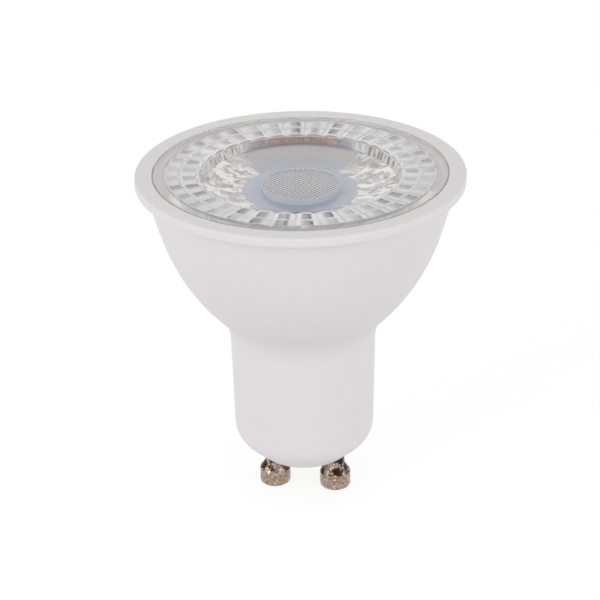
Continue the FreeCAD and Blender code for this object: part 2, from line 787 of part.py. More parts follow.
def lead_holes():
    """Holes through the driver board for the leads of the front parts and for the wires."""
    holes = [(name, side, height, "lead_radius + lead_fit") for name, side, height in FRONT_LEADS]
    for name, sign in SIDES:
        for end in ("input", "output"):
            side = f"{sign}{end}_hole_side"
            holes.append((f"{end}_{name}", side, f"{end}_hole_height", "wire_radius + lead_fit"))
    along_y = FreeCAD.Vector(0, 1, 0)
    return [
        rod(f"{name}_hole", (side, BOARD_FRONT, height), radius, "driver_sheet", along_y)
        for name, side, height, radius in holes
    ]


def driver_board():
    corner = ("-driver_half_width", BOARD_FRONT, DRIVER_BOTTOM)
    extent = ("2 * driver_half_width", "driver_sheet", f"driver_top - {DRIVER_BOTTOM}")
    blank = box("driver_board_blank", corner, extent)
    return node(cut("driver_board", blank, lead_holes()))


def bent_lead(name, side, height, start):
    """A bent lead: from a part's start point along Z, then back through the board at side and height."""
    FRONT_LEADS.append((name, side, height))
    begin = [size(text) for text in start]
    turn = (size(side), begin[1], size(height))
    end = (size(side), size(f"{BOARD_BACK} + lead_tail"), size(height))
    piece = doc.addObject("Part::Feature", name)
    piece.Shape = tube([begin, turn, end], size("lead_radius"))
    return piece


def straight_lead(name, side, height, start):
    """A straight lead: from a depth inside its part back through the board."""
    FRONT_LEADS.append((name, side, height))
    length = f"{BOARD_BACK} + lead_tail - ({start})"
    return rod(name, (side, start, height), "lead_radius", length, FreeCAD.Vector(0, 1, 0))


def bulk_capacitor():
    """An electrolytic can with a crimp groove near its sealed end and two leads back to the board."""
    depth = f"({BOARD_FRONT} - part_gap - bulk_radius)"
    top = "(bulk_bottom + bulk_length)"
    groove = "(bulk_bottom + bulk_groove_rise)"
    can = turned(
        "bulk_capacitor_can",
        [
            ("0", "bulk_bottom"),
            ("bulk_radius", "bulk_bottom"),
            ("bulk_radius", groove),
            ("bulk_radius - bulk_groove_depth", f"{groove} + bulk_groove_width / 2"),
            ("bulk_radius", f"{groove} + bulk_groove_width"),
            ("bulk_radius", top),
            ("0", top),
        ],
    )
    rounded(can, "bulk_crown", "bulk_round", ("bulk_radius", top))
    place(can, "-bulk_side", depth, "0")
    leads = []
    for name, sign in (("a", "-"), ("b", "+")):
        side = f"-bulk_side {sign} bulk_lead_pitch / 2"
        start = (side, depth, "bulk_bottom + lead_root")
        leads.append(bent_lead(f"bulk_lead_{name}", side, "bulk_bottom - bulk_lead_drop", start))
    return node(fused("bulk_capacitor", [can] + leads))


def film_capacitor():
    """A moulded film capacitor, on its side against the board, with two straight leads."""
    body = doc.addObject("PartDesign::Body", "film_capacitor_case")
    half = "film_width / 2"
    top = "film_bottom + film_height"
    section = rectangle(f"-film_side - {half}", "film_bottom", f"-film_side + {half}", top)
    raised(body, "film_case", section, "film_depth", plane="XZ_Plane", drop=f"part_gap - {BOARD_FRONT}")
    start = f"{BOARD_FRONT} - part_gap - film_depth / 2"
    leads = []
    for name, sign in (("a", "-"), ("b", "+")):
        side = f"-film_side {sign} film_lead_pitch / 2"
        leads.append(straight_lead(f"film_lead_{name}", side, "film_bottom + film_height / 2", start))
    return node(fused("film_capacitor", [body] + leads))


def choke():
    """A drum core with the wound copper between its flanges, and two leads back to the board."""
    depth = f"({BOARD_FRONT} - part_gap - choke_radius)"
    low, high = "choke_bottom", "(choke_bottom + choke_length)"
    bare_low, bare_high = f"({low} + choke_flange)", f"({high} - choke_flange)"
    core = turned(
        "choke_core",
        [
            ("0", low),
            ("choke_radius", low),
            ("choke_radius", bare_low),
            ("choke_hub_radius", bare_low),
            ("choke_hub_radius", bare_high),
            ("choke_radius", bare_high),
            ("choke_radius", high),
            ("0", high),
        ],
    )
    node(place(core, "choke_side", depth, "0"))
    section = rectangle("choke_hub_radius", bare_low, "choke_wound_radius", bare_high)
    coil = place(turned("choke_winding_coil", section), "choke_side", depth, "0")
    start = f"{depth} + (choke_hub_radius + choke_wound_radius) / 2"
    leads = []
    for name, sign in (("a", "-"), ("b", "+")):
        side = f"choke_side {sign} choke_hub_radius"
        leads.append(straight_lead(f"choke_lead_{name}", side, "choke_bottom + choke_length / 2", start))
    return node(fused("choke_winding", [coil] + leads))


def fuse_resistor():
    """A small axial resistor that also fuses: waisted body, leads bent back to the board."""
    depth = f"({BOARD_FRONT} - part_gap - fuse_radius)"
    low, high = "fuse_bottom", "(fuse_bottom + fuse_length)"
    barrel = turned(
        "fuse_resistor_barrel",
        [
            ("0", low),
            ("fuse_radius", low),
            ("fuse_radius", f"{low} + fuse_cap"),
            ("fuse_waist_radius", f"{low} + fuse_cap + fuse_taper"),
            ("fuse_waist_radius", f"{high} - fuse_cap - fuse_taper"),
            ("fuse_radius", f"{high} - fuse_cap"),
            ("fuse_radius", high),
            ("0", high),
        ],
    )
    rounded(barrel, "fuse_ends", "fuse_round", ("fuse_radius", low), ("fuse_radius", high))
    place(barrel, "fuse_side", depth, "0")
    low_start = ("fuse_side", depth, f"{low} + lead_root")
    high_start = ("fuse_side", depth, f"{high} - lead_root")
    leads = [
        bent_lead("fuse_lead_low", "fuse_side", f"{low} - fuse_lead_reach", low_start),
        bent_lead("fuse_lead_high", "fuse_side", f"{high} + fuse_lead_reach", high_start),
    ]
    return node(fused("fuse_resistor", [barrel] + leads))


def flat_package(name, size_name, foot_offsets):
    """A package on the board's back: case with a bevelled top, and feet on the board above and below."""
    width, height, depth = f"{size_name}_width", f"{size_name}_height", f"{size_name}_depth"
    bottom, foot_width = f"{size_name}_bottom", f"{size_name}_foot_width"
    case = doc.addObject("PartDesign::Body", f"{name}_case")
    section = rectangle(f"-{width} / 2", bottom, f"{width} / 2", f"{bottom} + {height}")
    drop = f"-{BOARD_BACK} - {depth}"
    block = raised(case, f"{name}_block", section, depth, plane="XZ_Plane", drop=drop)
    doc.recompute()
    far = size(f"{BOARD_BACK} + {depth}")
    edges = [
        f"Edge{index}"
        for index, edge in enumerate(block.Shape.Edges, start=1)
        if all(abs(vertex.Point.y - far) < 1e-4 for vertex in edge.Vertexes)
    ]
    bevel = case.newObject("PartDesign::Chamfer", f"{name}_bevel")
    bevel.Base = (block, edges)
    bevel.setExpression("Size", bound("case_bevel"))
    feet = []
    for index, offset in enumerate(foot_offsets):
        corner = (f"{offset} - {foot_width} / 2", BOARD_BACK, f"{bottom} - foot_reach")
        extent = (foot_width, "foot_sheet", f"{height} + 2 * foot_reach")
        feet.append(box(f"{name}_foot_{index}", corner, extent))
    return node(fused(name, [case] + feet))


def back_parts():
    """The flat packages on the board's back, which stand in one column, and two chip resistors."""
    flat_package("bridge_rectifier", "bridge", ["-bridge_foot_pitch / 2", "bridge_foot_pitch / 2"])
    chip_feet = [f"{half_steps} * chip_foot_pitch / 2" for half_steps in (-3, -1, 1, 3)]
    flat_package("driver_chip", "chip", chip_feet)
    flat_package("fast_diode", "diode", ["0"])
    for name, bottom in (("lower", "chip_bottom"), ("upper", "chip_bottom + 2 * resistor_height")):
        corner = ("-resistor_side", BOARD_BACK, bottom)
        extent = ("resistor_width", "resistor_depth", "resistor_height")
        node(box(f"sense_resistor_{name}", corner, extent))


def wires():
    """Four insulated wires: pin bores to the board's foot, and the board's head to the lamp board."""
    front = size(BOARD_FRONT)
    back = size(BOARD_BACK)
    tail = size("lead_tail")
    pin_top = size(f"{FLOOR_HEIGHT} + pin_collar_height")
    pitch = size("pin_pitch") / 2
    foot = pin_top - size("pin_bore_depth") + size("wire_radius")
    rise = size("input_hole_height")
    hole = size("input_hole_side")
    low = size("output_hole_height")
    side = size("output_hole_side")
    slot = size("output_wire_side")
    notch = size("wire_notch_reach")
    dip = size("shelf_height - output_wire_dip")
    rest = size(LAMP_BOARD_TOP) + size("wire_radius")
    end = size("output_pad_side")
    for name, sign in (("left", -1), ("right", 1)):
        wire(
            f"input_wire_{name}",
            [
                (sign * pitch, 0, foot),
                (sign * pitch, 0, (pin_top + rise) / 2),
                (sign * hole, -size("input_wire_bow"), rise),
                (sign * hole, back + tail, rise),
            ],
        )
        wire(
            f"output_wire_{name}",
            [
                (sign * side, front - tail, low),
                (sign * side, size("output_wire_reach"), low),
                (sign * slot, notch, dip),
                (sign * slot, notch, rest + size("output_wire_arch")),
                (sign * end, size("output_pad_reach"), rest),
            ],
        )


housing()
pin("pin_left", "-")
pin("pin_right", "")
heat_cup()
thermal_pad()
lamp_board()
emitter()
board_screw("board_screw_left", "-")
board_screw("board_screw_right", "")
lens()
bulk_capacitor()
film_capacitor()
choke()
fuse_resistor()
back_parts()
wires()
driver_board()
doc.recompute()

for item in doc.Objects:
    if {"Invalid", "Error"} & set(item.State):
        raise RuntimeError(f"{item.Name} failed: {item.State}")
for piece in NODES:
    shape = piece.Shape
    if shape.isNull() or not shape.isValid() or len(shape.Solids) != 1:
        raise RuntimeError(f"{piece.Label} is not one valid solid")

os.makedirs("parts", exist_ok=True)
for piece in NODES:
    piece.Shape.exportStep(f"parts/{piece.Label}.step")
    box_mm = piece.Shape.BoundBox
    print(f"{piece.Label}: {piece.Shape.Volume:.1f} mm3, z {box_mm.ZMin:.2f} to {box_mm.ZMax:.2f}")
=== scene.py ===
import math
from math import cos, sin

import bpy
from mathutils import Matrix, Vector, geometry

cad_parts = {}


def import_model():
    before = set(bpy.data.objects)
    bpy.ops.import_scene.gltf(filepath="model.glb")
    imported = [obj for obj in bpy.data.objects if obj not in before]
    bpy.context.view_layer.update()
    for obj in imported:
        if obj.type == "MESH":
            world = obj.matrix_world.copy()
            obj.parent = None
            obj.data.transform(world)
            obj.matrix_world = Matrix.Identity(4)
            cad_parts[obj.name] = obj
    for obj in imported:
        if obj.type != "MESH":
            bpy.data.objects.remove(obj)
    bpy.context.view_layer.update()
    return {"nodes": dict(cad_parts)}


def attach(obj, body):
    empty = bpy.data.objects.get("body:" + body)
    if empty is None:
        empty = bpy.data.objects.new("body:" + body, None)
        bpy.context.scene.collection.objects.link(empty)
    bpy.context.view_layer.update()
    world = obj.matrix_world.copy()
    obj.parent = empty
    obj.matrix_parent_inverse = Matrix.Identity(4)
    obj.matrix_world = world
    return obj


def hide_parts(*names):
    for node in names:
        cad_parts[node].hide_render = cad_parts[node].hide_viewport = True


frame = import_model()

MM = 0.001
NODES = frame["nodes"]

# Sizes in millimetres. They are the solids' own, but for the pins' heads and shoulders, the facets' crowns
# and drops, the pit's steep step and curved wall, and the disc's depth, which are finer here.

LENGTH = 56.0
PIN_LENGTH = 7.0
PIN_PITCH = 10.0
FLANGE_R, FLANGE_T, FLANGE_ROUND, FLANGE_FILLET = 25.0, 1.5, 0.3, 0.2
BOWL_R, BOWL_ARC = 23.3, 53.0
RIM_SLOPE, MID_SLOPE, WAIST_SLOPE = (math.radians(a) for a in (8.5, 18.9, 43.8))
WAIST_ARC = 7.9
NECK_R, NECK_DRAFT = 11.44, math.radians(0.9)
BASE_FLAT_R, BASE_BEVEL = 7.13, math.radians(43.8)
BASE_FLAT_ROUND, BASE_BEVEL_ROUND = 2.4, 4.0
WALL, BASE_WALL = 1.1, 1.6
LEDGE, RECESS_ROUND = 1.1, 0.12
SHELF_Z, SHELF_STEP = 37.0, 2.0

PIN_HEAD_R, PIN_HEAD_H, PIN_SHOULDER, PIN_NECK_R = 2.5, 2.5, 1.5, 1.55
PIN_FOOT_ROUND, PIN_HEAD_ROUND, PIN_NECK_ROUND = 0.35, 0.16, 0.25
PIN_SHANK_R, PIN_COLLAR_R, PIN_COLLAR_H, PIN_BORE_R, PIN_BORE_DEPTH = 1.15, 1.8, 0.5, 0.7, 2.4

LENS_R, LENS_FIT, LENS_RECESS, BAND_T = 22.3, 0.1, 0.05, 1.3
LENS_EDGE_ROUND, BAND_EDGE_ROUND, BAND_EDGE_DROP = 0.15, 0.05, 0.08
LENS_TOP = LENGTH - LENS_RECESS
SEAT_Z = LENS_TOP - BAND_T
LENS_AIR = 0.03
FACETS = 34
FACET_R = (20.5, 18.0, 15.33)
FACET_CROWN = 0.30
FACET_BOW = 0.04
FACET_DROPS = ((0.06, 0.10), (0.20, 0.24))
PIT_R, PIT_FLOOR_R, PIT_DEPTH = 15.05, 8.2, 3.3
PIT_LIP_DROP, PIT_LIP_ROUND = 0.64, 0.08
PIT_LIP_SEAM, PIT_LIP_RISE = 0.01, 0.02
PIT_STEP_WIDTH, PIT_STEP_DROP, PIT_STEP_ROUND = 0.42, 1.3, 0.5
PIT_ARC, PIT_ARC_INSET, PIT_ARC_DROP = 18.0, 0.4, 0.08
DISC_R, DISC_DEPTH, DISC_CROWN = 5.95, 2.4, 0.25
DISC_FOOT_ROUND, DISC_EDGE_ROUND, DISC_RIM = 0.08, 0.06, 0.1
CONE_FOOT_R, CONE_ARC, CONE_CROWN = 6.8, 75.0, 0.12
CAVITY_R, CAVITY_TOP_R, CAVITY_H, CAVITY_CROWN = 5.0, 4.7, 4.6, 1.2
LENS_FOOT = 39.2

# The disc's tiny lenses: pitch, sag, where a lens ends and its ridge begins, the turn of their square
# grid, and how near the grid comes to the disc's edge and fades there.

TINY_PITCH, TINY_SAG, TINY_RIDGE = 0.57, 0.11, 0.37
TINY_TURN = math.radians(53)
TINY_MARGIN, TINY_FADE = 0.05, 0.15

# Steps of the meshes, the angles in degrees above which an edge is sharp, the distances that count as
# none, and the share of a straight run that a round may take.

HOUSING_STEPS, PIN_STEPS, ROUND_STEPS = 256, 96, 6
FACET_STEPS, FACET_ROWS = 12, 10
COLUMNS = FACETS * FACET_STEPS
PIT_ROW = 0.5
CONE_STEPS, PILLOW_STEPS, CAVITY_STEPS = 28, 4, 10
TINY_STEPS = 8
SHARP_EDGE, SHARP_FACET = 38, 14
ON_AXIS, SAME_POINT = 1e-6, 1e-4
ROUND_SHARE = 0.49

# Zones of the lens, each with a material of its own. The band's takes in the pit's floor and curved wall.

BAND, PILLOW, TINY_LENS, UNDERSIDE, RIDGE, STEEP, DISC_SIDE, SEAM = range(8)


# Profiles


def arc_points(start, end, radius, turn, steps):
    """Points along the shorter arc from start to end, left for turn 1 and right for turn -1."""
    (x0, y0), (x1, y1) = start, end
    half = math.hypot(x1 - x0, y1 - y0) / 2
    rise = math.sqrt(radius**2 - half**2)
    nx, ny = -(y1 - y0) / (2 * half), (x1 - x0) / (2 * half)
    cx, cy = (x0 + x1) / 2 + nx * rise * turn, (y0 + y1) / 2 + ny * rise * turn
    first = math.atan2(y0 - cy, x0 - cx)
    sweep = 2 * math.asin(half / radius) * turn
    angles = [first + sweep * i / steps for i in range(steps + 1)]
    return [(cx + radius * cos(angle), cy + radius * sin(angle)) for angle in angles]


def round_corner(before, corner, after, radius):
    """Points of a round between two straight runs."""
    a, b, c = Vector(before), Vector(corner), Vector(after)
    u, v = (a - b).normalized(), (c - b).normalized()
    half = math.acos(max(-1.0, min(1.0, u.dot(v)))) / 2
    reach = min(radius / math.tan(half), ROUND_SHARE * (a - b).length, ROUND_SHARE * (c - b).length)
    radius = reach * math.tan(half)
    turn = 1 if u.x * v.y - u.y * v.x < 0 else -1
    return arc_points(tuple(b + u * reach), tuple(b + v * reach), radius, turn, ROUND_STEPS)


def path(stops):
    """A run of points. A stop is (x, y), (x, y, round) or a list of points that an arc gave."""
    corners = []
    for stop in stops:
        if isinstance(stop, list):
            corners.extend((x, y, 0.0) for x, y in stop)
        else:
            corners.append((stop[0], stop[1], stop[2] if len(stop) > 2 else 0.0))
    points = []
    for i, (x, y, radius) in enumerate(corners):
        if radius and 0 < i < len(corners) - 1:
            points.extend(round_corner(corners[i - 1][:2], (x, y), corners[i + 1][:2], radius))
        else:
            points.append((x, y))
    clean = [points[0]]
    for x, y in points[1:]:
        if math.hypot(x - clean[-1][0], y - clean[-1][1]) > SAME_POINT:
            clean.append((x, y))
    return clean


# Meshes


def add_piece(name, verts, faces, sharp_deg, node):
    """A smooth mesh of points in millimetres, in place of the named node."""
    mesh = bpy.data.meshes.new(name)
    mesh.from_pydata([tuple(value * MM for value in vert) for vert in verts], [], faces)
    mesh.validate()
    mesh.polygons.foreach_set("use_smooth", [True] * len(mesh.polygons))
    mesh.set_sharp_from_angle(angle=math.radians(sharp_deg))
    obj = bpy.data.objects.new(name, mesh)
    bpy.context.scene.collection.objects.link(obj)
    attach(obj, "root")
    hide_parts(node)
    return obj


def lathe(rows, count):
    """Vertices and rings of a turned surface. A row is (radius, height), with a height or one per column."""
    verts, rings = [], []
    for radius, heights in rows:
        if radius < ON_AXIS:
            rings.append([len(verts)])
            verts.append((0.0, 0.0, heights))
            continue
        rings.append(list(range(len(verts), len(verts) + count)))
        for j in range(count):
            angle = 2 * math.pi * j / count
            height = heights[j] if isinstance(heights, list) else heights
            verts.append((radius * cos(angle), radius * sin(angle), height))
    return verts, rings


def skin(rings, flip=False):
    """Faces between each ring and the next."""
    faces = []
    for a, b in zip(rings, rings[1:]):
        count = max(len(a), len(b))
        for j in range(count):
            k = (j + 1) % count
            if len(a) == 1:
                face = (a[0], b[k], b[j])
            elif len(b) == 1:
                face = (a[j], a[k], b[0])
            else:
                face = (a[j], a[k], b[k], b[j])
            faces.append(face[::-1] if flip else face)
    return faces


def solid_of_turn(name, profile, count, node, x=0.0):
    """A closed solid. Its profile leaves the axis at the foot and comes back to it inside."""
    verts, rings = lathe(profile, count)
    verts = [(vert[0] + x, vert[1], vert[2]) for vert in verts]
    return add_piece(name, verts, skin(rings), SHARP_EDGE, node)


# Housing: the same arcs as the solid's, with finer steps and small rounds on its edges.

FLANGE_FOOT = LENGTH - FLANGE_T
BOWL_REACH = BOWL_ARC * (cos(RIM_SLOPE) - cos(MID_SLOPE))
WAIST_REACH = WAIST_ARC * (cos(NECK_DRAFT) - cos(WAIST_SLOPE))
LOWER_ARC = (BOWL_R - NECK_R - BOWL_REACH - WAIST_REACH) / (cos(MID_SLOPE) - cos(WAIST_SLOPE))


def on_arc(centre, radius, slope):
    return (centre[0] + radius * cos(slope), centre[1] - radius * sin(slope))


def sweep_arc(centre, radius, slope_from, slope_to, steps):
    slopes = [slope_from + (slope_to - slope_from) * i / steps for i in range(steps + 1)]
    return [on_arc(centre, radius, slope) for slope in slopes]


UPPER = on_arc((BOWL_R, FLANGE_FOOT), -BOWL_ARC, RIM_SLOPE)
LOWER = on_arc(UPPER, BOWL_ARC - LOWER_ARC, MID_SLOPE)
WAIST = on_arc(LOWER, LOWER_ARC + WAIST_ARC, WAIST_SLOPE)


def housing():
    neck_top = on_arc(WAIST, -WAIST_ARC, NECK_DRAFT)
    bevel, draft = math.tan(BASE_BEVEL), math.tan(NECK_DRAFT)
    foot_z = neck_top[1] - PIN_LENGTH + BASE_FLAT_R * bevel
    bevel_r = (neck_top[0] - foot_z * draft) / (1 - draft * bevel)
    bevel_z = PIN_LENGTH + (bevel_r - BASE_FLAT_R) * bevel
    recess = LENS_R + LENS_FIT
    ledge = recess - LEDGE
    inner_upper = BOWL_ARC - WALL
    ledge_slope = math.acos((ledge - UPPER[0]) / inner_upper)
    inner_lower = LOWER_ARC - WALL
    shelf_slope = math.asin((LOWER[1] - SHELF_Z) / inner_lower)
    shelf_r = NECK_R - WALL + SHELF_STEP
    inner_waist = WAIST_ARC + WALL
    waist_slope = math.acos((WAIST[0] - shelf_r) / inner_waist)
    inner_neck = bevel_r - WALL
    bevel_wall = WALL / cos(BASE_BEVEL)
    inner_bevel_z = PIN_LENGTH + (inner_neck - BASE_FLAT_R) * bevel + bevel_wall
    inner_flat = BASE_FLAT_R + (BASE_WALL - bevel_wall) / bevel
    profile = path(
        [
            (0, PIN_LENGTH),
            (BASE_FLAT_R, PIN_LENGTH, BASE_FLAT_ROUND),
            (bevel_r, bevel_z, BASE_BEVEL_ROUND),
            sweep_arc(WAIST, -WAIST_ARC, NECK_DRAFT, WAIST_SLOPE, 20),
            sweep_arc(LOWER, LOWER_ARC, WAIST_SLOPE, MID_SLOPE, 20),
            sweep_arc(UPPER, BOWL_ARC, MID_SLOPE, RIM_SLOPE, 12)[:-1],
            (BOWL_R, FLANGE_FOOT, FLANGE_FILLET),
            (FLANGE_R, FLANGE_FOOT, FLANGE_ROUND),
            (FLANGE_R, LENGTH, FLANGE_ROUND),
            (recess, LENGTH, RECESS_ROUND),
            (recess, SEAT_Z),
            (ledge, SEAT_Z),
            sweep_arc(UPPER, inner_upper, ledge_slope, MID_SLOPE, 12),
            sweep_arc(LOWER, inner_lower, MID_SLOPE, shelf_slope, 14),
            (shelf_r, SHELF_Z),
            sweep_arc(WAIST, -inner_waist, waist_slope, NECK_DRAFT, 12),
            (inner_neck, inner_bevel_z),
            (inner_flat, PIN_LENGTH + BASE_WALL),
            (0, PIN_LENGTH + BASE_WALL),
        ]
    )
    return solid_of_turn("housing_moulding", profile, HOUSING_STEPS, "housing")


def pin(name, node, x):
    floor_z = PIN_LENGTH + BASE_WALL
    top = floor_z + PIN_COLLAR_H
    profile = path(
        [
            (0, 0),
            (PIN_HEAD_R, 0, PIN_FOOT_ROUND),
            (PIN_HEAD_R, PIN_HEAD_H, PIN_HEAD_ROUND),
            (PIN_NECK_R, PIN_HEAD_H + PIN_SHOULDER, PIN_NECK_ROUND),
            (PIN_NECK_R, PIN_LENGTH),
            (PIN_SHANK_R, PIN_LENGTH),
            (PIN_SHANK_R, floor_z),
            (PIN_COLLAR_R, floor_z),
            (PIN_SHANK_R, top),
            (PIN_BORE_R, top),
            (PIN_BORE_R, top - PIN_BORE_DEPTH),
            (0, top - PIN_BORE_DEPTH),
        ]
    )
    return solid_of_turn(name, profile, PIN_STEPS, node, x)


# Lens: facet rings, pit, raised disc with its field of tiny lenses, cone and cavity.


def facet_heights(crest, along):
    """One height per column, convex across each facet and along it. The place along runs from 0 to 1."""
    heights = []
    u = 2 * along - 1
    for j in range(COLUMNS):
        t = 2 * (j % FACET_STEPS) / FACET_STEPS - 1
        heights.append(crest - FACET_CROWN * t * t - FACET_BOW * u * u)
    return heights


def tiny_lens(x, y):
    """Height of the field of tiny convex lenses in square packing, and how near the place is to a ridge."""
    u = (x * cos(TINY_TURN) + y * sin(TINY_TURN)) / TINY_PITCH
    v = (y * cos(TINY_TURN) - x * sin(TINY_TURN)) / TINY_PITCH
    du, dv = u - round(u), v - round(v)
    return TINY_SAG * (1 - 2 * (du * du + dv * dv)), max(abs(du), abs(dv))


def pit_wall():
    """From the lip down the steep step and the curved wall to the floor, and up to the disc's rim."""
    lip_z = LENS_TOP - PIT_LIP_DROP
    step_r, step_z = PIT_R - PIT_STEP_WIDTH, lip_z - PIT_STEP_DROP
    floor_z, disc_z = LENS_TOP - PIT_DEPTH, LENS_TOP - DISC_DEPTH
    arc_top = (step_r - PIT_ARC_INSET, step_z - PIT_ARC_DROP)
    corners = path(
        [
            (FACET_R[2] - PIT_LIP_SEAM, lip_z + PIT_LIP_RISE),
            (PIT_R, lip_z, PIT_LIP_ROUND),
            (step_r, step_z, PIT_STEP_ROUND),
            arc_points(arc_top, (PIT_FLOOR_R, floor_z), PIT_ARC, -1, 14),
            (DISC_R, floor_z, DISC_FOOT_ROUND),
            (DISC_R, disc_z, DISC_EDGE_ROUND),
            (DISC_R - DISC_RIM, disc_z),
        ]
    )
    points = [corners[0]]
    for x, y in corners[1:]:
        x0, y0 = points[-1]
        parts = max(1, round(math.hypot(x - x0, y - y0) / PIT_ROW))
        points.extend((x0 + (x - x0) * i / parts, y0 + (y - y0) * i / parts) for i in range(1, parts + 1))
    return points


def disc_cap(verts, edge, edge_r):
    """The disc's top: a grid of points, added to verts and joined to the edge's ring. Faces and zones."""
    dome = (DISC_R**2 + DISC_CROWN**2) / (2 * DISC_CROWN)
    step = TINY_PITCH / TINY_STEPS
    flat = [Vector(verts[i][:2]) for i in edge]
    reach = int(edge_r / step) + 1
    for row in range(-reach, reach + 1):
        for column in range(-reach, reach + 1):
            x = (column * cos(TINY_TURN) - row * sin(TINY_TURN)) * step
            y = (column * sin(TINY_TURN) + row * cos(TINY_TURN)) * step
            if math.hypot(x, y) < edge_r - TINY_MARGIN:
                flat.append(Vector((x, y)))
    count = len(edge)
    loop = [(i, (i + 1) % count) for i in range(count)]
    points, _, triangles, origin, _, _ = geometry.delaunay_2d_cdt(flat, loop, [], 1, 1e-7)
    index = []
    for point, sources in zip(points, origin):
        known = [source for source in sources if source < count]
        if known:
            index.append(edge[known[0]])
            continue
        radius = math.hypot(point.x, point.y)
        fade = min(1.0, (edge_r - radius) / TINY_FADE)
        height = LENS_TOP - DISC_DEPTH + DISC_CROWN - (dome - math.sqrt(dome**2 - radius**2))
        index.append(len(verts))
        verts.append((point.x, point.y, height + (tiny_lens(point.x, point.y)[0] - TINY_SAG) * fade))
    faces, zones = [], []
    for triangle in triangles:
        face = tuple(index[i] for i in triangle)
        x, y = (sum(verts[i][axis] for i in face) / 3 for axis in (0, 1))
        faces.append(face)
        # The tiny lenses' crests get a dark material and their ridges a light one: painted shade that draws
        # the field.
        zones.append(RIDGE if tiny_lens(x, y)[1] > TINY_RIDGE else TINY_LENS)
    return faces, zones


def pillowed(verts, rings):
    """The cone's rows of shallow pillows, in line with the facets on top."""
    raised = list(verts)
    for i, ring in enumerate(rings):
        along = 2 * (i % PILLOW_STEPS) / PILLOW_STEPS - 1
        for j, index in enumerate(ring):
            across = 2 * (j % FACET_STEPS) / FACET_STEPS - 1
            drop = CONE_CROWN * max(across * across, along * along) * min(1.0, i / 2)
            x, y, z = verts[index]
            shrink = 1 - drop / math.hypot(x, y)
            raised[index] = (x * shrink, y * shrink, z)
    return raised


def underside():
    """Vertices and rings of the cone with its pillows, its foot, and the cavity with its bulged ceiling."""
    foot_z = LENS_FOOT + LENS_AIR
    cone = arc_points((FACET_R[0], SEAT_Z + LENS_AIR), (CONE_FOOT_R, foot_z), CONE_ARC, -1, CONE_STEPS)
    dome = (CAVITY_TOP_R**2 + CAVITY_CROWN**2) / (2 * CAVITY_CROWN)
    ceiling = []
    for i in range(CAVITY_STEPS + 1):
        radius = CAVITY_TOP_R * (1 - i / CAVITY_STEPS)
        bulge = math.sqrt(dome**2 - radius**2) - (dome - CAVITY_CROWN)
        ceiling.append((radius, LENS_FOOT + CAVITY_H - bulge))
    verts, rings = lathe(path([cone, (CAVITY_R, foot_z), ceiling]), COLUMNS)
    return pillowed(verts, rings[: len(cone)]), rings


def lens():
    edge = path(
        [
            (LENS_R, SEAT_Z + LENS_AIR),
            (LENS_R, LENS_TOP, LENS_EDGE_ROUND),
            (FACET_R[0], LENS_TOP, BAND_EDGE_ROUND),
            (FACET_R[0], LENS_TOP - BAND_EDGE_DROP),
        ]
    )
    rows = edge[:-1]
    facet_from = len(rows) - 1
    for ring, (outer_drop, inner_drop) in enumerate(FACET_DROPS):
        outer, inner = FACET_R[ring], FACET_R[ring + 1]
        for i in range(FACET_ROWS + 1):
            u = i / FACET_ROWS
            drop = outer_drop + (inner_drop - outer_drop) * u
            rows.append((outer + (inner - outer) * u, facet_heights(LENS_TOP - drop, u)))
    facet_to = len(rows) - 1
    rows.extend(pit_wall())

    verts, rings = lathe(rows, COLUMNS)
    faces = skin(rings)
    zones = []
    for i in range(len(faces)):
        row = i // COLUMNS
        radius = rows[row + 1][0]
        if facet_from <= row < facet_to:
            seam = i % FACET_STEPS == 0 or (row - facet_from) % (FACET_ROWS + 1) in (0, FACET_ROWS - 1)
            zones.append(SEAM if seam else PILLOW)
        elif PIT_R - PIT_STEP_WIDTH < radius < PIT_R:
            zones.append(STEEP)
        else:
            zones.append(DISC_SIDE if radius <= DISC_R else BAND)

    cap_faces, cap_zones = disc_cap(verts, rings[-1], rows[-1][0])
    under_verts, under_rings = underside()
    shifted = [[i + len(verts) for i in ring] for ring in under_rings]
    under_faces = skin([rings[0]] + shifted, flip=True)
    faces += cap_faces + under_faces
    zones += cap_zones + [UNDERSIDE] * len(under_faces)
    piece = add_piece("lens_moulding", verts + under_verts, faces, SHARP_FACET, "lens")
    for look in lens_looks():
        piece.data.materials.append(look)
    piece.data.polygons.foreach_set("material_index", zones)


# Nodes of materials


def math_node(tree, operation, *values):
    """A Math node's result. Each value is a socket or a number."""
    node = tree.nodes.new("ShaderNodeMath")
    node.operation = operation
    for socket, value in zip(node.inputs, values):
        if isinstance(value, (int, float)):
            socket.default_value = value
        else:
            tree.links.new(value, socket)
    return node.outputs[0]


def vector_node(tree, operation, vector, constant=(0, 0, 0)):
    node = tree.nodes.new("ShaderNodeVectorMath")
    node.operation = operation
    node.inputs[1].default_value = constant
    tree.links.new(vector, node.inputs[0])
    return node


def place(tree):
    """The point in the piece's own frame, in metres."""
    return tree.nodes.new("ShaderNodeTexCoord").outputs["Object"]


def place_split(tree):
    """The point's X, Y and Z."""
    split = tree.nodes.new("ShaderNodeSeparateXYZ")
    tree.links.new(place(tree), split.inputs[0])
    return split.outputs


def from_axis(tree):
    """Distance from the lamp's axis in metres."""
    flat = vector_node(tree, "MULTIPLY", place(tree), (1, 1, 0))
    return vector_node(tree, "LENGTH", flat.outputs["Vector"]).outputs["Value"]


def polar(tree, turns, rows):
    """A flat place that follows the lens round: so many a radian, and so many a metre outward."""
    split = place_split(tree)
    turn = math_node(tree, "ARCTAN2", split["Y"], split["X"])
    vector = tree.nodes.new("ShaderNodeCombineXYZ")
    tree.links.new(math_node(tree, "MULTIPLY", turn, turns), vector.inputs["X"])
    tree.links.new(math_node(tree, "MULTIPLY", from_axis(tree), rows), vector.inputs["Y"])
    return vector.outputs[0]


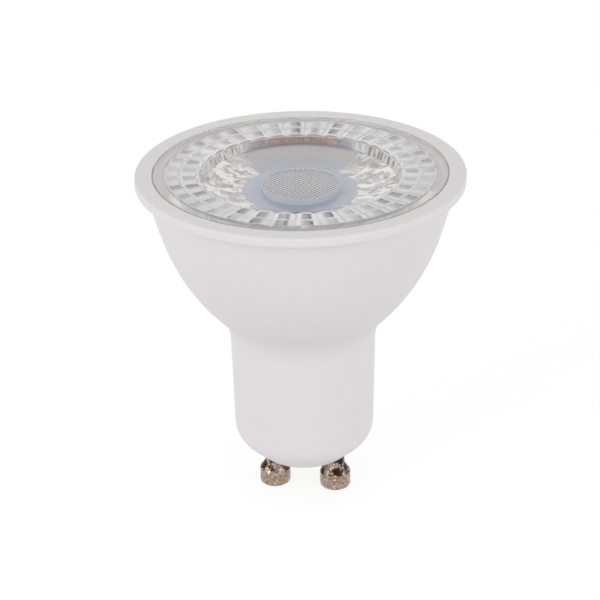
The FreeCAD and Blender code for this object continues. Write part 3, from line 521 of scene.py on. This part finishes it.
def between(tree, value, start, end):
    """0 at the start and 1 at the end, both in millimetres."""
    node = tree.nodes.new("ShaderNodeMapRange")
    node.inputs["From Min"].default_value = start * MM
    node.inputs["From Max"].default_value = end * MM
    tree.links.new(value, node.inputs["Value"])
    return node.outputs["Result"]


def noise(tree, vector, scale, detail, rough=0.5, distortion=0.0):
    node = tree.nodes.new("ShaderNodeTexNoise")
    node.inputs["Scale"].default_value = scale
    node.inputs["Detail"].default_value = detail
    node.inputs["Roughness"].default_value = rough
    node.inputs["Distortion"].default_value = distortion
    tree.links.new(vector, node.inputs["Vector"])
    return node.outputs


def grain(tree, scale, detail, rough):
    return noise(tree, place(tree), scale, detail, rough)["Fac"]


def ramp(tree, source, *stops):
    """A colour ramp's result. A stop is a position with a colour or a level of grey."""
    node = tree.nodes.new("ShaderNodeValToRGB")
    elements = node.color_ramp.elements
    elements[0].position, elements[-1].position = stops[0][0], stops[-1][0]
    for position, _ in stops[1:-1]:
        elements.new(position)
    for element, (_, colour) in zip(elements, stops):
        element.color = (*colour, 1) if isinstance(colour, tuple) else (colour, colour, colour, 1)
    tree.links.new(source, node.inputs["Fac"])
    return node.outputs["Color"]


def blend(tree, factor, first, second):
    """From the first colour to the second. Each is a socket or a colour."""
    node = tree.nodes.new("ShaderNodeMix")
    node.data_type = "RGBA"
    tree.links.new(factor, node.inputs["Factor"])
    for socket, colour in (("A", first), ("B", second)):
        if isinstance(colour, tuple):
            node.inputs[socket].default_value = (*colour, 1)
        else:
            tree.links.new(colour, node.inputs[socket])
    return node.outputs["Result"]


def bump(tree, bsdf, height, strength, distance):
    node = tree.nodes.new("ShaderNodeBump")
    node.inputs["Strength"].default_value = strength
    node.inputs["Distance"].default_value = distance
    tree.links.new(height, node.inputs["Height"])
    tree.links.new(node.outputs["Normal"], bsdf.inputs["Normal"])


def shader(name, base, roughness, metallic=0.0):
    material = bpy.data.materials.new(name)
    material.use_nodes = True
    tree = material.node_tree
    bsdf = tree.nodes["Principled BSDF"]
    bsdf.inputs["Base Color"].default_value = (*base, 1)
    bsdf.inputs["Roughness"].default_value = roughness
    bsdf.inputs["Metallic"].default_value = metallic
    return material, tree, bsdf


# Materials of the lens. What isn't transmission is a haze on its surface, and in most zones its colours are
# painted reflections and painted shade for what the clear plastic shows.

LENS_IOR = 1.46
WIDE_WAVES, FINE_WAVES = 160, 400
LENS_SET = math.radians(8.4)
CELL_COLUMNS, CELL_ROW = 51, 0.85


def clear_plastic(name, tint, transmission, roughness, waves_scale):
    material, tree, bsdf = shader(name, tint, roughness)
    bsdf.inputs["Transmission Weight"].default_value = transmission
    bsdf.inputs["IOR"].default_value = LENS_IOR
    waves = grain(tree, waves_scale, 2, 0.5)
    smear = ramp(tree, waves, (0.3, roughness * 0.7), (0.7, roughness * 1.4))
    tree.links.new(smear, bsdf.inputs["Roughness"])
    bump(tree, bsdf, waves, 0.06, 0.0001)
    return material, tree, bsdf


def from_side(tree):
    """Distance from the lens's own middle plane, as a share of the pit's radius. It places painted
    reflections and glints.
    """
    across = vector_node(tree, "DOT_PRODUCT", place(tree), (cos(LENS_SET), sin(LENS_SET), 0))
    side = math_node(tree, "ABSOLUTE", across.outputs["Value"])
    return math_node(tree, "MULTIPLY", side, 1 / (PIT_R * MM))


def patches(tree, turns, rows):
    """Uneven streaks for painted highlights, following the lens round: so many a radian, and so many a
    millimetre outward.
    """
    return noise(tree, polar(tree, turns, rows / MM), 1.0, 3.0, distortion=0.6)["Fac"]


def painted_cone_cells(tree):
    """A painted reflection of the cone's rows of facets as they show through the pit's wall: small staggered
    cells, light and dark.
    """
    wobble = noise(tree, place(tree), 700, 1)["Color"]
    shift = vector_node(tree, "MULTIPLY_ADD", wobble, (1.4, 1.4, 0))
    grid = polar(tree, CELL_COLUMNS / (2 * math.pi), 1 / (CELL_ROW * MM))
    tree.links.new(grid, shift.inputs[2])
    cells = tree.nodes.new("ShaderNodeTexBrick")
    cells.inputs["Scale"].default_value = 1.0
    cells.inputs["Brick Width"].default_value = 1.0
    cells.inputs["Row Height"].default_value = 1.0
    cells.inputs["Mortar Size"].default_value = 0.14
    cells.inputs["Mortar Smooth"].default_value = 1.0
    cells.inputs["Color1"].default_value = (0.95, 0.935, 0.92, 1)
    cells.inputs["Color2"].default_value = (0.46, 0.44, 0.43, 1)
    cells.inputs["Mortar"].default_value = (0.55, 0.53, 0.515, 1)
    tree.links.new(shift.outputs["Vector"], cells.inputs["Vector"])
    return cells.outputs["Color"]


def pit_look():
    """Clear, with painted reflections: blue on the floor, beige up the wall, the cone's cells and white
    highlights at the sides.
    """
    material, tree, bsdf = clear_plastic("lens_pit", (0.98, 0.98, 0.98), 0.86, 0.02, WIDE_WAVES)
    share = math_node(tree, "MULTIPLY", from_axis(tree), 1 / (PIT_R * MM))
    # Painted reflections: blue on the floor, darker blue-grey low on the wall, beige higher up.
    tint = ramp(
        tree,
        share,
        (0.0, (0.48, 0.52, 0.62)),
        (0.55, (0.49, 0.53, 0.63)),
        (0.60, (0.40, 0.43, 0.51)),
        (0.72, (0.42, 0.44, 0.50)),
        (0.84, (0.52, 0.475, 0.47)),
        (0.985, (0.52, 0.475, 0.47)),
        (1.0, (0.985, 0.975, 0.97)),
    )
    # Painted highlights: white streaks over the painted reflection of the cone's cells, on the wall's sides
    # only.
    white = ramp(tree, patches(tree, 7.0, 0.32), (0.53, 0), (0.56, 1))
    painted_reflection = blend(tree, white, painted_cone_cells(tree), (1.0, 1.0, 1.0))
    sides = ramp(tree, math_node(tree, "DIVIDE", from_side(tree), share), (0.58, 0), (0.80, 1))
    wall = ramp(tree, share, (0.56, 0), (0.60, 1), (0.965, 1), (0.98, 0))
    where = math_node(tree, "MULTIPLY", sides, wall)
    tree.links.new(blend(tree, where, tint, painted_reflection), bsdf.inputs["Base Color"])
    # The painted parts get less transmission, so that their colours show.
    painted_cover = math_node(tree, "ADD", where, math_node(tree, "MULTIPLY", where, white))
    clarity = ramp(tree, painted_cover, (0.0, 0.80), (0.5, 0.5), (1.0, 0.12))
    # The floor keeps little transmission, so that its painted blue shows.
    floor_part = ramp(tree, share, (0.55, 1), (0.60, 0))
    tree.links.new(blend(tree, floor_part, clarity, (0.3, 0.3, 0.3)), bsdf.inputs["Transmission Weight"])
    return material


def step_look():
    """The pit's steep wall in painted reflections: amber at front and back, mauve below it and at its ends,
    glints at the sides.
    """
    material, tree, bsdf = clear_plastic("lens_step", (0.98, 0.98, 0.98), 0.35, 0.04, WIDE_WAVES)
    share = from_side(tree)
    # Painted reflection of the amber emitter at front and back, mauve towards the ends, pale at the sides.
    tint = ramp(
        tree,
        share,
        (0.0, (0.40, 0.25, 0.17)),
        (0.34, (0.48, 0.28, 0.14)),
        (0.41, (0.32, 0.26, 0.32)),
        (0.52, (0.48, 0.46, 0.52)),
        (0.62, (0.86, 0.86, 0.86)),
    )
    inner = ramp(tree, share, (0.42, 1), (0.58, 0))
    # Painted reflection: mauve specks over the amber.
    specks = ramp(tree, grain(tree, 2400, 2, 0.7), (0.44, 0), (0.60, 0.8))
    speckled = blend(tree, math_node(tree, "MULTIPLY", specks, inner), tint, (0.50, 0.47, 0.52))
    # A painted dark line along the foot of the steep wall.
    lip_z = LENS_TOP - PIT_LIP_DROP
    rise = between(tree, place_split(tree)["Z"], lip_z - PIT_STEP_DROP, lip_z)
    low_part = ramp(tree, rise, (0.0, 1), (0.32, 1), (0.45, 0))
    edged = blend(tree, math_node(tree, "MULTIPLY", low_part, inner), speckled, (0.33, 0.28, 0.36))
    # Painted glints on the wall's sides.
    glints = ramp(
        tree,
        patches(tree, 24.0, 0.9),
        (0.40, (0.33, 0.315, 0.30)),
        (0.47, (0.72, 0.71, 0.70)),
        (0.54, (1.0, 1.0, 1.0)),
    )
    sides = ramp(tree, share, (0.54, 0), (0.68, 1))
    tree.links.new(blend(tree, sides, edged, glints), bsdf.inputs["Base Color"])
    return material


def facet_look():
    """Clear pillows with painted shade: light borders round a greyer bar in each, with a brown line on the
    bar's far edge.
    """
    material, tree, bsdf = clear_plastic("lens_facets", (0.985, 0.98, 0.985), 0.34, 0.02, WIDE_WAVES)
    split = place_split(tree)
    side = math_node(tree, "ABSOLUTE", split["X"])
    turn = math_node(tree, "ARCTAN2", split["Y"], math_node(tree, "MULTIPLY", side, -1.0))
    count = math_node(tree, "MULTIPLY", turn, FACETS / (2 * math.pi))
    across = math_node(tree, "FRACT", count)
    reach = between(tree, from_axis(tree), FACET_R[2], FACET_R[0])
    split_at = (FACET_R[1] - FACET_R[2]) / (FACET_R[0] - FACET_R[2])
    along = ramp(
        tree,
        reach,
        (0.02, 0),
        (0.08, 1),
        (split_at - 0.08, 1),
        (split_at, 0),
        (split_at + 0.08, 1),
        (0.92, 1),
        (0.98, 0),
    )
    cell = tree.nodes.new("ShaderNodeCombineXYZ")
    tree.links.new(math_node(tree, "FLOOR", count), cell.inputs["X"])
    tree.links.new(math_node(tree, "GREATER_THAN", reach, split_at), cell.inputs["Y"])
    # The painted shade is stronger in some cells than in others.
    chance = tree.nodes.new("ShaderNodeTexWhiteNoise")
    tree.links.new(cell.outputs[0], chance.inputs["Vector"])
    strength = ramp(tree, chance.outputs["Value"], (0.0, 0.3), (1.0, 1))
    inside = math_node(tree, "MULTIPLY", along, strength)
    # Painted shade: a greyer bar across each facet.
    bar = ramp(tree, across, (0.20, 0), (0.28, 1), (0.60, 0.8), (0.80, 0))
    grey = blend(tree, math_node(tree, "MULTIPLY", inside, bar), (1.0, 0.99, 1.0), (0.18, 0.175, 0.185))
    # Painted shade: a broken brown line on the bar's far edge.
    line = ramp(tree, across, (0.22, 0), (0.27, 1), (0.36, 1), (0.44, 0))
    broken = ramp(tree, grain(tree, 2000, 2, 0.7), (0.45, 0), (0.55, 1))
    brown = math_node(tree, "MULTIPLY", math_node(tree, "MULTIPLY", inside, line), broken)
    tree.links.new(blend(tree, brown, grey, (0.05, 0.03, 0.025)), bsdf.inputs["Base Color"])
    return material


def lens_looks():
    """Materials in the order of the lens's zones."""
    looks = {
        BAND: pit_look(),
        PILLOW: facet_look(),
        # Painted shade: the tiny lenses dark, the ridges between them light.
        TINY_LENS: clear_plastic("lens_field", (0.24, 0.235, 0.25), 0.30, 0.04, FINE_WAVES)[0],
        UNDERSIDE: clear_plastic("lens_underside", (1.0, 1.0, 1.0), 0.86, 0.05, WIDE_WAVES)[0],
        RIDGE: clear_plastic("lens_grid", (0.80, 0.795, 0.80), 0.25, 0.06, FINE_WAVES)[0],
        STEEP: step_look(),
        # Painted reflection: the disc's side in the floor's pale blue.
        DISC_SIDE: clear_plastic("lens_disc_side", (0.62, 0.655, 0.74), 0.30, 0.04, FINE_WAVES)[0],
        SEAM: clear_plastic("lens_seam", (1.0, 1.0, 1.0), 0.50, 0.04, FINE_WAVES)[0],
    }
    return [looks[zone] for zone in sorted(looks)]


# Other materials


def body_look():
    """White moulded plastic with a fine satin grain."""
    material, tree, bsdf = shader("body_white", (0.797, 0.763, 0.772), 0.5)
    fine = grain(tree, 2600, 3, 0.6)
    tint = ramp(
        tree,
        fine,
        (0.25, (0.772, 0.737, 0.747)),
        (0.5, (0.797, 0.763, 0.772)),
        (0.75, (0.812, 0.78, 0.787)),
    )
    tree.links.new(tint, bsdf.inputs["Base Color"])
    tree.links.new(ramp(tree, fine, (0.3, 0.42), (0.7, 0.6)), bsdf.inputs["Roughness"])
    bump(tree, bsdf, fine, 0.25, 0.00003)
    return material


def pin_look():
    """Brown tarnished plating with fine light flecks. Dark patches are mixed in on the shoulder just above
    the head.
    """
    material, tree, bsdf = shader("pin_tarnish", (0.38, 0.28, 0.22), 0.3, 1.0)
    fleck = grain(tree, 3400, 4, 0.7)
    tint = ramp(
        tree,
        fleck,
        (0.33, (0.10, 0.055, 0.035)),
        (0.44, (0.30, 0.205, 0.15)),
        (0.54, (0.40, 0.31, 0.25)),
        (0.66, (0.74, 0.71, 0.67)),
    )
    above = between(tree, place_split(tree)["Z"], PIN_HEAD_H - 0.1, PIN_HEAD_H + 0.25)
    spread = ramp(tree, grain(tree, 620, 3, 0.6), (0.46, 0), (0.53, 1))
    dark = math_node(tree, "MULTIPLY", above, spread)
    tree.links.new(blend(tree, dark, tint, (0.035, 0.018, 0.012)), bsdf.inputs["Base Color"])
    tree.links.new(ramp(tree, fleck, (0.35, 0.45), (0.65, 0.2)), bsdf.inputs["Roughness"])
    bump(tree, bsdf, fleck, 0.5, 0.00005)
    return material


def plain_look(name, base, roughness, metallic):
    """One colour with a slight grain in colour and gloss."""
    material, tree, bsdf = shader(name, base, roughness, metallic)
    uneven = grain(tree, 900, 4.0, 0.55)
    dark = tuple(value * 0.94 for value in base)
    light = tuple(min(1.0, value * 1.06) for value in base)
    tree.links.new(ramp(tree, uneven, (0.35, dark), (0.65, light)), bsdf.inputs["Base Color"])
    gloss = ramp(tree, uneven, (0.35, roughness * 0.88), (0.65, roughness * 1.12))
    tree.links.new(gloss, bsdf.inputs["Roughness"])
    bump(tree, bsdf, uneven, 0.2, 0.00002)
    return material, bsdf


# Name, colour, roughness, metallic, glow and pieces. The glow of the two white coats stands for the light
# that the lens's many clear walls would send back to them.

INNER_LOOKS = (
    ("cup_coat_look", (0.96, 0.96, 0.955), 0.45, 0.0, 0.3, ("heat_cup",)),
    ("pad_look", (0.55, 0.58, 0.64), 0.8, 0.0, 0.0, ("thermal_pad",)),
    ("lamp_board_look", (0.94, 0.94, 0.93), 0.45, 0.0, 0.3, ("lamp_board",)),
    ("dam_look", (0.88, 0.87, 0.82), 0.5, 0.0, 0.0, ("emitter_dam",)),
    ("phosphor_look", (0.95, 0.66, 0.14), 0.5, 0.0, 0.0, ("emitter",)),
    ("screw_look", (0.66, 0.66, 0.65), 0.3, 1.0, 0.0, ("board_screw_left", "board_screw_right")),
    ("laminate_look", (0.06, 0.24, 0.10), 0.45, 0.0, 0.0, ("driver_board",)),
    ("sleeve_look", (0.04, 0.045, 0.07), 0.3, 0.0, 0.0, ("bulk_capacitor",)),
    ("film_case_look", (0.62, 0.20, 0.06), 0.4, 0.0, 0.0, ("film_capacitor",)),
    ("ferrite_look", (0.07, 0.07, 0.075), 0.6, 0.0, 0.0, ("choke_core",)),
    ("copper_look", (0.72, 0.34, 0.15), 0.3, 1.0, 0.0, ("choke_winding",)),
    ("resistor_look", (0.22, 0.40, 0.48), 0.4, 0.0, 0.0, ("fuse_resistor",)),
    ("package_look", (0.03, 0.03, 0.034), 0.5, 0.0, 0.0, ("bridge_rectifier", "driver_chip", "fast_diode")),
    ("chip_look", (0.04, 0.04, 0.04), 0.35, 0.0, 0.0, ("sense_resistor_lower", "sense_resistor_upper")),
    (
        "wire_white_look",
        (0.80, 0.80, 0.78),
        0.4,
        0.0,
        0.0,
        ("input_wire_left", "input_wire_right", "output_wire_left", "output_wire_right"),
    ),
)


def paint(obj, material):
    obj.data.materials.clear()
    obj.data.materials.append(material)


def dress_inner():
    for name, base, roughness, metallic, glow, pieces in INNER_LOOKS:
        material, bsdf = plain_look(name, base, roughness, metallic)
        bsdf.inputs["Emission Color"].default_value = (1, 1, 1, 1)
        bsdf.inputs["Emission Strength"].default_value = glow
        for piece in pieces:
            paint(NODES[piece], material)


paint(housing(), body_look())
lens()
metal = pin_look()
paint(pin("pin_left_turned", "pin_left", -PIN_PITCH / 2), metal)
paint(pin("pin_right_turned", "pin_right", PIN_PITCH / 2), metal)
dress_inner()


# Stage


def seen(tree):
    """1 where the camera, clear plastic or metal looks, and 0 for the light that falls on the lamp."""
    rays = tree.nodes.new("ShaderNodeLightPath")
    through = math_node(tree, "MAXIMUM", rays.outputs["Is Camera Ray"], rays.outputs["Is Transmission Ray"])
    return math_node(tree, "MAXIMUM", through, rays.outputs["Is Glossy Ray"])


def floor():
    """White by its own glow where it is seen, with just enough diffuse colour there to keep the shadow."""
    half = 1.5
    mesh = bpy.data.meshes.new("floor")
    corners = [(-half, -half, 0), (half, -half, 0), (half, half, 0), (-half, half, 0)]
    mesh.from_pydata(corners, [], [(0, 1, 2, 3)])
    obj = bpy.data.objects.new("floor", mesh)
    bpy.context.scene.collection.objects.link(obj)
    material = bpy.data.materials.new("floor_white")
    material.use_nodes = True
    tree = material.node_tree
    tree.nodes.clear()
    out = tree.nodes.new("ShaderNodeOutputMaterial")
    add = tree.nodes.new("ShaderNodeAddShader")
    diffuse = tree.nodes.new("ShaderNodeBsdfDiffuse")
    glow = tree.nodes.new("ShaderNodeEmission")
    shown = seen(tree)
    tree.links.new(blend(tree, shown, (0.82, 0.82, 0.82), (0.26, 0.26, 0.26)), diffuse.inputs["Color"])
    tree.links.new(math_node(tree, "MULTIPLY", shown, 0.80), glow.inputs["Strength"])
    tree.links.new(diffuse.outputs[0], add.inputs[0])
    tree.links.new(glow.outputs[0], add.inputs[1])
    tree.links.new(add.outputs[0], out.inputs["Surface"])
    mesh.materials.append(material)


def world():
    """Soft light all round, brighter near the horizon than overhead, and plain white where it is seen."""
    scene = bpy.context.scene
    scene.world = bpy.data.worlds.new("studio")
    scene.world.use_nodes = True
    tree = scene.world.node_tree
    background = tree.nodes["Background"]
    background.inputs["Color"].default_value = (1, 1, 1, 1)
    coords = tree.nodes.new("ShaderNodeTexCoord")
    split = tree.nodes.new("ShaderNodeSeparateXYZ")
    tree.links.new(coords.outputs["Generated"], split.inputs[0])
    fall = tree.nodes.new("ShaderNodeMapRange")
    fall.inputs["To Min"].default_value = 1.12
    fall.inputs["To Max"].default_value = 0.50
    tree.links.new(split.outputs["Z"], fall.inputs["Value"])
    mix = tree.nodes.new("ShaderNodeMix")
    mix.inputs["B"].default_value = 1.0
    tree.links.new(seen(tree), mix.inputs["Factor"])
    tree.links.new(fall.outputs["Result"], mix.inputs["A"])
    tree.links.new(mix.outputs["Result"], background.inputs["Strength"])


def lamp(name, location, size, power):
    """A square area lamp that points at the middle of the object."""
    light = bpy.data.lights.new(name, "AREA")
    light.shape = "RECTANGLE"
    light.size = light.size_y = size
    light.energy = power
    obj = bpy.data.objects.new(name, light)
    bpy.context.scene.collection.objects.link(obj)
    obj.location = location
    obj.rotation_euler = (Vector((0, 0, 0.035)) - Vector(location)).to_track_quat("-Z", "Y").to_euler()


def camera():
    """At the photograph's angle. Angles are in degrees, distance and target in millimetres."""
    yaw, elevation, roll = (math.radians(a) for a in (8.4, 27.14, 0.95))
    distance = 255.0
    side, height = -0.39, 33.79
    focal_px, picture_px, sensor = 1624.3, 600, 36.0
    target = Vector((side * cos(yaw), side * sin(yaw), height))
    back = Vector((sin(yaw) * cos(elevation), -cos(yaw) * cos(elevation), sin(elevation)))
    right = Vector((cos(yaw), sin(yaw), 0))
    up = back.cross(right)
    right, up = right * cos(roll) - up * sin(roll), right * sin(roll) + up * cos(roll)
    data = bpy.data.cameras.new("camera")
    data.sensor_width = sensor
    data.lens = focal_px / picture_px * sensor
    data.clip_start, data.clip_end = 0.01, 10
    obj = bpy.data.objects.new("camera", data)
    bpy.context.scene.collection.objects.link(obj)
    turn = Matrix((right, up, back)).transposed()
    obj.matrix_world = Matrix.Translation((target + back * distance) * MM) @ turn.to_4x4()
    bpy.context.scene.camera = obj


floor()
world()
lamp("key_left", (-0.5, -0.5, 0.35), 0.5, 1.0)
lamp("fill_right", (0.6, -0.35, 0.25), 0.4, 0.7)
lamp("spark_front", (-0.35, -0.60, 0.42), 0.07, 0.10)
camera()
bpy.context.scene.view_settings.view_transform = "Standard"
